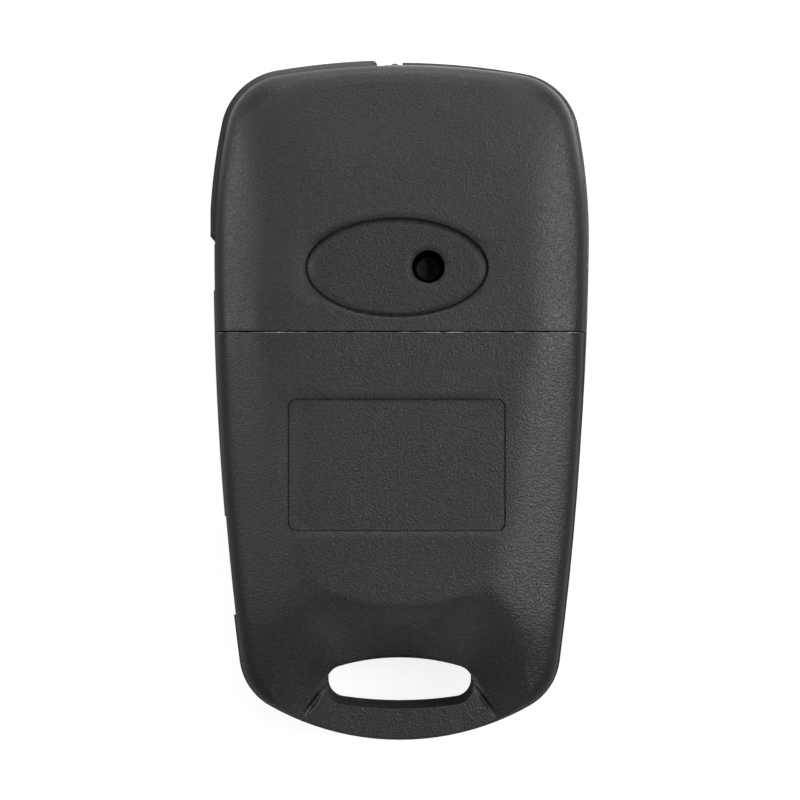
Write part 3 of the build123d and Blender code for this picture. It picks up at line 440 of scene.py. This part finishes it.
# %% Board finish
board_green = Finish("green_solder_mask", (0.012, 0.11, 0.045), 0.24, Coat_Weight=0.3, Coat_Roughness=0.12)
sheets = board_green.cells(2.6, {"distance": "CHEBYCHEV", "feature": "F1"}, stretch=(1.0, 1.4, 1.0))
copper = board_green.spread(sheets, 0.0, 1.0, 0.3, 0.34)
board_green.relief(copper, 0.02)
weave = board_green.noise(0.35, detail=2.0, stretch=(1.0, 3.0, 1.0))
board_green.relief(weave, 0.006, 0.6)
board_green.wire("Base Color", board_green.blend(copper, (0.02, 0.16, 0.065), (0.01, 0.095, 0.04)))
board_green.wire("Roughness", board_green.spread(weave, 0.2, 0.32, 0.3, 0.7))
board_green.put_on(nodes["circuit_board"])

# %% [markdown]
# ## Making a piece from a bmesh
#
# The small fittings are modelled in millimetres with bmesh operators.
# At the end each form is welded, turned right side out and scaled to metres,
# so that its object can stay at the origin while its place is in its mesh.

# %% Helpers for pieces
WELD = 0.0005
FULL_TURN = 2 * math.pi


def finish_piece(name, form, body, finish, replaced=None):
    bmesh.ops.remove_doubles(form, verts=form.verts, dist=WELD)
    bmesh.ops.recalc_face_normals(form, faces=form.faces)
    bmesh.ops.scale(form, vec=(MM, MM, MM), verts=form.verts)
    mesh = bpy.data.meshes.new(name)
    form.to_mesh(mesh)
    form.free()
    piece = bpy.data.objects.new(name, mesh)
    scene.collection.objects.link(piece)
    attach(piece, body)
    if replaced:
        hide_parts(replaced)
    finish.put_on(piece)
    print(name, "has", len(mesh.polygons), "faces")
    return piece


def rounded_block(form, centre, size, round_by, segments=2):
    """A block with all its edges rounded."""
    matrix = Matrix.Translation(centre) @ Matrix.Diagonal((*size, 1.0))
    made = bmesh.ops.create_cube(form, size=1.0, matrix=matrix)["verts"]
    edges = {edge for vert in made for edge in vert.link_edges}
    bmesh.ops.bevel(
        form,
        geom=list(edges),
        offset=round_by,
        segments=segments,
        profile=0.5,
        affect="EDGES",
        material=-1,
    )


def bent_bar(form, centre, radius, width, low_z, high_z, leg=0.0, sweep=math.pi, steps=20):
    """A flat bar with a round bend in plan, and straight legs of one length at both ends."""
    inner, outer, middle = radius - width / 2, radius + width / 2, Vector(centre)
    corners = [(inner, low_z), (outer, low_z), (outer, high_z), (inner, high_z)]
    verts = [form.verts.new(middle + Vector((across, 0, z - middle.z))) for across, z in corners]
    edges = [form.edges.new((verts[count], verts[(count + 1) % 4])) for count in range(4)]
    closed = sweep == FULL_TURN
    made = bmesh.ops.spin(
        form,
        geom=verts + edges,
        cent=centre,
        axis=(0, 0, 1),
        angle=sweep,
        steps=steps,
        use_merge=closed,
    )
    if closed:
        return
    last = [part for part in made["geom_last"] if isinstance(part, bmesh.types.BMEdge)]
    far_way = Matrix.Rotation(sweep, 4, "Z") @ Vector((0, 1, 0))
    for loop, way in ((edges, Vector((0, -1, 0))), (last, far_way)):
        grown = bmesh.ops.extrude_edge_only(form, edges=loop)["geom"]
        moved = [part for part in grown if isinstance(part, bmesh.types.BMVert)]
        bmesh.ops.translate(form, vec=way * leg, verts=moved)
        grown_edges = [part for part in grown if isinstance(part, bmesh.types.BMEdge)]
        ends = [edge for edge in grown_edges if all(vert in moved for vert in edge.verts)]
        bmesh.ops.holes_fill(form, edges=ends, sides=4)


# %% [markdown]
# ## Signs on the keys
#
# The three keys carry pad-printed signs: a closed padlock, an open padlock and a car with its boot lid up.
# A print could be a pattern in the material, but a thin solid keeps its edge sharp from any distance
# and goes along when the key is pressed. The bars are bent with spin, and the plates are bevelled blocks.

# %% Print finish and the two padlocks
print_ink = Finish("pale_pad_print", (0.62, 0.62, 0.6), 0.45)
print_ink.relief(print_ink.noise(0.1), 0.004)
print_ink.wire("Base Color", print_ink.blend(print_ink.noise(0.4), (0.56, 0.56, 0.54), (0.66, 0.66, 0.64)))

low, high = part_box("lock_button")
key_face = low.z / MM
SIGN_LOW, SIGN_HIGH = key_face - 0.03, key_face + 0.05
SIGN_SHEET, SIGN_MIDDLE = SIGN_HIGH - SIGN_LOW, (SIGN_LOW + SIGN_HIGH) / 2
BAR_WIDTH = 0.32


def key_middle(name):
    low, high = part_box(name + "_button")
    return (low.x + high.x) / 2 / MM, (low.y + high.y) / 2 / MM


def padlock(name, shackle_shift):
    x, y = key_middle(name)
    form = bmesh.new()
    rounded_block(form, (x, y - 0.65, SIGN_MIDDLE), (2.3, 1.7, SIGN_SHEET), 0.035)
    hoop = (x + shackle_shift, y + 0.75, SIGN_LOW)
    bent_bar(form, hoop, 0.7, BAR_WIDTH, SIGN_LOW, SIGN_HIGH, leg=0.55)
    finish_piece(name + "_sign", form, name + "_key", print_ink)


padlock("lock", 0.0)
padlock("unlock", 1.4)

# %% Car with its boot lid up
x, y = key_middle("trunk")
form = bmesh.new()
foot = [(-2.9, -0.75), (2.7, -0.75), (2.9, 0.1)]
roof = [(1.9, 0.35), (0.9, 1.15), (-0.9, 1.15), (-1.7, 0.35), (-2.9, 0.2)]
base = form.faces.new([form.verts.new((x + across, y + up, SIGN_LOW)) for across, up in foot + roof])
raised = bmesh.ops.extrude_face_region(form, geom=[base])["geom"]
raised = [part for part in raised if isinstance(part, bmesh.types.BMVert)]
bmesh.ops.translate(form, vec=(0, 0, SIGN_SHEET), verts=raised)
rounded_block(form, (x - 2.15, y + 1.2, SIGN_MIDDLE), (1.7, 0.3, SIGN_SHEET), 0.03)
WHEEL_X, WHEEL_RADIUS, WHEEL_BAR, WHEEL_SUNK = 1.6, 0.5, 0.3, 0.005
for side in (-1, 1):
    hub = (x + side * WHEEL_X, y - 0.95, SIGN_LOW)
    low_z = SIGN_LOW - WHEEL_SUNK
    bent_bar(form, hub, WHEEL_RADIUS, WHEEL_BAR, low_z, SIGN_HIGH, sweep=FULL_TURN, steps=28)
finish_piece("trunk_sign", form, "trunk_key", print_ink)

# %% [markdown]
# ## The spring under the release button
#
# The coil swings the blade out, and it gives way when the button is pressed.
# The CAD solid is stiff, and here a copy of it stands for it, fixed to the head.
# A CAD mesh is loose triangles, so the copy is merged before it becomes a piece.

# %% Copy of the spring
low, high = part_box("torsion_spring")
form = bmesh.new()
form.from_mesh(nodes["torsion_spring"].data)
bmesh.ops.scale(form, vec=(1 / MM, 1 / MM, 1 / MM), verts=form.verts)
spring = finish_piece("wound_spring", form, "head", spring_wire, "torsion_spring")
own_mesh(spring)

# %% [markdown]
# ## Parts on the board
#
# A controller, a crystal, a tuning coil and a column of chip parts are soldered to the board.
# They are seen when the lower cover is lifted. The CAD holds their solids, and here the
# controller gets bent legs, the crystal its flange, the coil its wire and the chips their ends.

# %% Controller package
chip_resin = smooth_plastic(
    "moulded_chip_resin", (0.014, 0.014, 0.015), (0.022, 0.022, 0.022), 0.5, 0.1, 0.012
)
tinned_legs = worked_metal("tinned_legs", (0.55, 0.55, 0.54), (0.7, 0.7, 0.69), 0.3, 0.05, even)


def box_of(name):
    """A node's lowest and highest corner and its middle, in millimetres."""
    low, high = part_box(name)
    return low / MM, high / MM, (low + high) / 2 / MM


low, high, chip = box_of("controller_chip")
BOARD_TOP = low.z
BODY_WIDTH, BODY_HEIGHT, BODY_FOOT = 3.0, 1.0, 0.1
MARK_RADIUS, MARK_THICKNESS = 0.3, 0.03
form = bmesh.new()
body_middle = (chip.x, chip.y, BOARD_TOP + BODY_FOOT + BODY_HEIGHT / 2)
rounded_block(form, body_middle, (high.x - low.x, BODY_WIDTH, BODY_HEIGHT), 0.12)
bmesh.ops.create_cone(
    form,
    cap_ends=True,
    segments=24,
    radius1=MARK_RADIUS,
    radius2=MARK_RADIUS,
    depth=MARK_THICKNESS,
    matrix=Matrix.Translation((low.x + 0.7, chip.y - 0.8, BOARD_TOP + BODY_FOOT + BODY_HEIGHT)),
)
finish_piece("controller_package", form, "casing", chip_resin, "controller_chip")

# %% Bent legs of the controller
LEG_PITCH, LEG_WIDTH, LEG_SHEET = 1.1, 0.4, 0.14
LEG_PATH = [(1.4, 0.62), (1.64, 0.62), (1.78, 0.52), (1.9, 0.22), (2.02, 0.1), (2.28, 0.1)]
leg_columns = [chip.x + LEG_PITCH * (count - 1.5) for count in range(4)]
form = bmesh.new()
for x in leg_columns:
    for side in (-1, 1):
        corners = [(x - LEG_WIDTH / 2, chip.y + side * out, BOARD_TOP + up) for out, up in LEG_PATH]
        verts = [form.verts.new(corner) for corner in corners]
        path = [form.edges.new(pair) for pair in zip(verts, verts[1:])]
        grown = bmesh.ops.extrude_edge_only(form, edges=path)["geom"]
        moved = [part for part in grown if isinstance(part, bmesh.types.BMVert)]
        bmesh.ops.translate(form, vec=(LEG_WIDTH, 0, 0), verts=moved)
bmesh.ops.recalc_face_normals(form, faces=form.faces)
bmesh.ops.solidify(form, geom=form.faces[:], thickness=LEG_SHEET)
finish_piece("controller_legs", form, "casing", tinned_legs)

# %% Crystal can with its flange
bright_can = worked_metal("drawn_crystal_can", (0.6, 0.6, 0.58), (0.74, 0.74, 0.72), 0.22, 0.08, along_x)
low, high, crystal = box_of("crystal")
can_length, can_width, can_height = high - low
FLANGE_RIM, FLANGE_SHEET = 0.16, 0.18
form = bmesh.new()
can_size = (can_length - 2 * FLANGE_RIM, can_width - 2 * FLANGE_RIM, can_height)
rounded_block(form, crystal, can_size, 0.26, segments=4)
flange_middle = (crystal.x, crystal.y, low.z + FLANGE_SHEET / 2)
rounded_block(form, flange_middle, (can_length, can_width, FLANGE_SHEET), 0.07, segments=3)
finish_piece("crystal_can", form, "casing", bright_can, "crystal")

# %% Wire on the tuning coil
ferrite = smooth_plastic("pressed_ferrite", (0.03, 0.031, 0.033), (0.05, 0.051, 0.054), 0.55, 0.09, 0.02)
ferrite.put_on(nodes["tuning_coil"])
enamelled_wire = Finish("enamelled_copper_wire", (0.55, 0.2, 0.09), 0.3, metallic=1.0, Coat_Weight=0.4)
enamelled_wire.relief(enamelled_wire.noise(0.2), 0.004)
copper_tone = enamelled_wire.blend(enamelled_wire.noise(0.8), (0.48, 0.16, 0.07), (0.62, 0.26, 0.12))
enamelled_wire.wire("Base Color", copper_tone)
low, high, coil = box_of("tuning_coil")
WAIST_RADIUS, FLANGE_HEIGHT, WIRE_RADIUS, TURNS, TURN_STEPS = 1.6, 0.4, 0.09, 7, 28
start = Vector((coil.x + WAIST_RADIUS + WIRE_RADIUS * 0.9, coil.y, low.z + FLANGE_HEIGHT + WIRE_RADIUS))
climb = high.z - low.z - 2 * FLANGE_HEIGHT - 2 * WIRE_RADIUS
form = bmesh.new()
upright = Matrix.Translation(start) @ Matrix.Rotation(math.pi / 2, 4, "X")
wire = bmesh.ops.create_circle(form, segments=8, radius=WIRE_RADIUS, matrix=upright)["verts"]
bmesh.ops.spin(
    form,
    geom=wire + form.edges[:],
    cent=(coil.x, coil.y, start.z),
    axis=(0, 0, 1),
    dvec=(0, 0, climb / (TURNS * TURN_STEPS)),
    angle=FULL_TURN * TURNS,
    steps=TURNS * TURN_STEPS,
)
bmesh.ops.holes_fill(form, edges=[edge for edge in form.edges if edge.is_boundary], sides=8)
finish_piece("coil_winding", form, "casing", enamelled_wire)

# %% Ends of the chip parts
fired_ceramic = smooth_plastic("fired_ceramic", (0.2, 0.14, 0.09), (0.28, 0.2, 0.13), 0.35, 0.2, 0.006)
fired_ceramic.put_on(nodes["chip_components"])
low, high, column = box_of("chip_components")
CHIP_COUNT, CHIP_LENGTH, CAP_LENGTH, CAP_PROUD = 6, 1.6, 0.34, 0.02
chip_pitch = (high.y - low.y - CHIP_LENGTH) / (CHIP_COUNT - 1)
form = bmesh.new()
for count in range(CHIP_COUNT):
    for end in (0.0, CHIP_LENGTH - CAP_LENGTH + 2 * CAP_PROUD):
        cap_y = low.y - CAP_PROUD + chip_pitch * count + end + CAP_LENGTH / 2
        cap_size = (high.x - low.x + 2 * CAP_PROUD, CAP_LENGTH, high.z - low.z + 2 * CAP_PROUD)
        rounded_block(form, (column.x, cap_y, column.z), cap_size, 0.05)
finish_piece("component_ends", form, "casing", tinned_legs)

# %% Helper for pieces made from curves
def curve_piece(name, curve, body, finish):
    """Turns a curve into a mesh piece, whose box is then its true box."""
    path = bpy.data.objects.new(name + "_path", curve)
    scene.collection.objects.link(path)
    made = bpy.data.meshes.new_from_object(path.evaluated_get(bpy.context.evaluated_depsgraph_get()))
    bpy.data.objects.remove(path)
    form = bmesh.new()
    form.from_mesh(made)
    bmesh.ops.scale(form, vec=(1 / MM, 1 / MM, 1 / MM), verts=form.verts)
    return finish_piece(name, form, body, finish)


# %% [markdown]
# ## Tracks and solder
#
# Tracks are copper strips below the green mask, so each shows as a low rounded ridge.
# A curve with a round bevel, sunk so that only its back is above the board, gives that ridge.
# Solder sets in domes, which are flattened spheres sunk to their middles.

# %% Tracks below the mask
mask_ridge = smooth_plastic("mask_over_copper", (0.016, 0.15, 0.06), (0.024, 0.19, 0.08), 0.22, 0.3, 0.004)
TRACK_RADIUS, TRACK_SUNK, TRACK_STEP = 0.13, 0.08, 0.45
LEG_END, PAD_REACH, PAD_DROP = 2.2, 3.0, 0.15
lines = bpy.data.curves.new("board_tracks", "CURVE")
lines.dimensions = "3D"
lines.bevel_depth = TRACK_RADIUS * MM
lines.bevel_resolution = 2
lines.use_fill_caps = True
routes = []
for count, x in enumerate(leg_columns):
    rise = 0.7 + TRACK_STEP * count
    shift = 2.2 + TRACK_STEP * count
    corner_y = chip.y + LEG_END + rise
    routes.append([(x, chip.y + LEG_END), (x, corner_y), (x - shift, corner_y + shift)])
for count, x in enumerate(leg_columns[:2]):
    drop = 0.45 + 0.4 * count
    corner_y = chip.y - LEG_END - drop
    routes.append([(x, chip.y - LEG_END), (x, corner_y), (coil.x + 1.0 + count, corner_y)])
for count, x in enumerate(leg_columns[2:]):
    drop = 0.85 - 0.4 * count
    crystal_end = crystal.x + 1.0 - 1.6 * (1 - count)
    corner_y = chip.y - LEG_END - drop
    end = [(crystal_end, corner_y), (crystal_end, chip.y - 1.2)]
    routes.append([(x, chip.y - LEG_END), (x, corner_y), *end])
for count in range(CHIP_COUNT):
    y = low.y + CHIP_LENGTH / 2 + chip_pitch * count
    route = [(0.3, 0.65), (1.1, 0.65), (1.9, -0.15), (PAD_REACH, -PAD_DROP)]
    routes.append([(column.x + across, y + up) for across, up in route])
for route in routes:
    spline = lines.splines.new("POLY")
    spline.points.add(len(route) - 1)
    for point, (x, y) in zip(spline.points, route):
        point.co = (x * MM, y * MM, (BOARD_TOP - TRACK_SUNK) * MM, 1.0)
curve_piece("board_tracks", lines, "casing", mask_ridge)
print(len(routes), "tracks")

# %% Solder domes
solder = worked_metal("bright_solder", (0.6, 0.6, 0.6), (0.75, 0.75, 0.74), 0.2, 0.15, even)
DOME_RADIUS, DOME_HEIGHT = 0.42, 0.26
joints = [(coil.x + 1.0 + count, chip.y - 2.65 - 0.4 * count) for count in (0, 1)]
first_y = low.y + CHIP_LENGTH / 2
joints += [(column.x + PAD_REACH, first_y + chip_pitch * count - PAD_DROP) for count in range(CHIP_COUNT)]
form = bmesh.new()
flatten = Matrix.Diagonal((DOME_RADIUS, DOME_RADIUS, DOME_HEIGHT, 1.0))
for x, y in joints:
    place = Matrix.Translation((x, y, BOARD_TOP)) @ flatten
    bmesh.ops.create_uvsphere(form, u_segments=16, v_segments=10, radius=1.0, matrix=place)
finish_piece("solder_domes", form, "casing", solder)

# %% [markdown]
# ## The pale line along the split, with a painted highlight
#
# Where the two back covers meet, a thin pale line of uneven width runs along the lower cover.
# It is drawn as a thin strand on the lower cover's edge, whose pale, uneven tone is a painted highlight of
# that edge.
# Its line is read from the cover: a merged copy is cut by a plane, and the upper hull
# of the cut's points is the outer edge. A curve whose radius varies then follows it.

# %% Outer edge of the lower cover
def upper_edge(name, y):
    """The upper hull of a node's section at a y in millimetres, from left to right."""
    copy = bmesh.new()
    copy.from_mesh(nodes[name].data)
    bmesh.ops.remove_doubles(copy, verts=copy.verts, dist=1e-6)
    parts = copy.verts[:] + copy.edges[:] + copy.faces[:]
    cut = bmesh.ops.bisect_plane(copy, geom=parts, plane_co=(0, y * MM, 0), plane_no=(0, 1, 0))["geom_cut"]
    points = sorted((part.co.x / MM, part.co.z / MM) for part in cut if isinstance(part, bmesh.types.BMVert))
    copy.free()
    hull = []
    for x, z in points:
        while len(hull) > 1:
            (x1, z1), (x2, z2) = hull[-2:]
            if (x2 - x1) * (z - z1) < (z2 - z1) * (x - x1):
                break
            hull.pop()
        hull.append((x, z))
    return hull


BURR_Y, BURR_STEP, BURR_RADIUS, BURR_SHIFT = SPLIT_Y - 0.1, 0.35, 0.05, 0.01
edge_line = upper_edge("lower_back_cover", BURR_Y - 0.03)
(left_x, left_z), (right_x, right_z) = edge_line[0], edge_line[-1]
print(len(edge_line), "points on the edge, from x", round(left_x, 2), "to", round(right_x, 2))

# %% Burr strand with a painted highlight
burr_highlight_plastic = Finish("thin_burr_painted_highlight", (0.16, 0.16, 0.155), 0.4)
burr_highlight_plastic.relief(burr_highlight_plastic.noise(0.1), 0.01)
burr_highlight_tone = burr_highlight_plastic.spread(burr_highlight_plastic.noise(1.1, detail=3.0), 0.0, 1.0, 0.4, 0.62)
# The pale, uneven tone of the strand is a painted highlight along the edge
burr_highlight_plastic.wire("Base Color", burr_highlight_plastic.blend(burr_highlight_tone, (0.03, 0.03, 0.029), (0.3, 0.3, 0.29)))
chance = random.Random(5)
burr = bpy.data.curves.new("parting_flash_highlighted", "CURVE")
burr.dimensions = "3D"
burr.bevel_depth = BURR_RADIUS * MM
burr.bevel_resolution = 1
burr.use_fill_caps = True
spots = []
for (x1, z1), (x2, z2) in zip(edge_line, edge_line[1:]):
    steps = max(1, round((x2 - x1) / BURR_STEP))
    spots += [(x1 + (x2 - x1) * part / steps, z1 + (z2 - z1) * part / steps) for part in range(steps)]
# The burr leaves out the lowest millimetre at both ends of the edge
spots = [(x, z) for x, z in spots if z > left_z + 1.0 and z > right_z + 1.0]
line = burr.splines.new("POLY")
line.points.add(len(spots) - 1)
weight, THINNEST, CHANGE = 0.6, 0.25, 0.22
for point, (x, z) in zip(line.points, spots):
    weight = min(1.0, max(THINNEST, weight + chance.uniform(-CHANGE, CHANGE)))
    point.co = (x * MM, (BURR_Y + BURR_SHIFT) * MM, (z - BURR_SHIFT) * MM, 1.0)
    point.radius = weight
curve_piece("parting_flash_highlighted", burr, "battery_cover", burr_highlight_plastic)
print(len(spots), "points on the burr")

# %% [markdown]
# ## The floor
#
# The key lies on white paper. For the lamps the paper is a mid grey, so that it throws little light
# back on the dark walls of the key. For the camera it gets a lift to white, and the soft shadow of
# the key stays on it. Beyond the top edge it is bright in reflections too, as a sheet that sweeps
# up behind the key would be, and that brightens what the top edge mirrors.

# %% Paper floor
form = bmesh.new()
bmesh.ops.create_grid(form, x_segments=1, y_segments=1, size=3.0)
floor = bpy.data.objects.new("floor", bpy.data.meshes.new("floor"))
form.to_mesh(floor.data)
form.free()
scene.collection.objects.link(floor)

paper = Finish("white_paper", (0.28, 0.28, 0.28), 0.9)
rays = paper.node("ShaderNodeLightPath")
beyond = paper.spread(paper.place("Y"), 0.0, 0.9, 22.0, 36.0)
gloss = paper.mix(rays.outputs["Is Glossy Ray"], 0.0, beyond)
paper.set("Emission Color", (1.0, 1.0, 1.0, 1.0))
paper.wire("Emission Strength", paper.mix(rays.outputs["Is Camera Ray"], gloss, 0.85))
paper.put_on(floor)

# %% [markdown]
# ## The lamps
#
# The right shoulder of the key is the brightest part and the middle is darker, so a high and a
# low softbox stand to the right, and a weaker pair to the left. Another pair hangs behind the
# top edge, one small softbox lights the foot, and a low lamp beyond the top edge draws the pale
# line along it. The world fills the rest evenly.

# %% Softboxes and world
def softbox(name, place, size, power):
    lamp = bpy.data.objects.new(name, bpy.data.lights.new(name, "AREA"))
    lamp.data.shape = "RECTANGLE"
    lamp.data.size, lamp.data.size_y = size
    lamp.data.energy = power
    lamp.location = place
    lamp.rotation_euler = (-Vector(place)).to_track_quat("-Z", "Y").to_euler()
    scene.collection.objects.link(lamp)
    print(name, power, "W")


TALL, WIDE = (0.14, 0.30), (0.30, 0.10)
softbox("right_softbox", (0.28, 0.03, 0.50), TALL, 1.12)
softbox("low_right_softbox", (0.42, 0.05, 0.38), TALL, 0.80)
softbox("left_softbox", (-0.30, 0.08, 0.49), TALL, 0.33)
softbox("low_left_softbox", (-0.42, 0.10, 0.36), TALL, 0.90)
softbox("overhead_softbox", (0.02, 0.30, 0.45), WIDE, 0.55)
softbox("low_overhead_softbox", (0.02, 0.42, 0.36), WIDE, 0.22)
softbox("foot_softbox", (0.0, -0.46, 0.28), WIDE, 0.27)
softbox("top_lamp", (0.03, 0.60, 0.12), (0.45, 0.12), 1.3)

world = bpy.data.worlds.new("studio")
scene.world = world
world.use_nodes = True
sky = world.node_tree.nodes["Background"]
sky.inputs["Color"].default_value = (1.0, 1.0, 1.0, 1.0)
sky.inputs["Strength"].default_value = 0.08
print("world strength", round(sky.inputs["Strength"].default_value, 2))
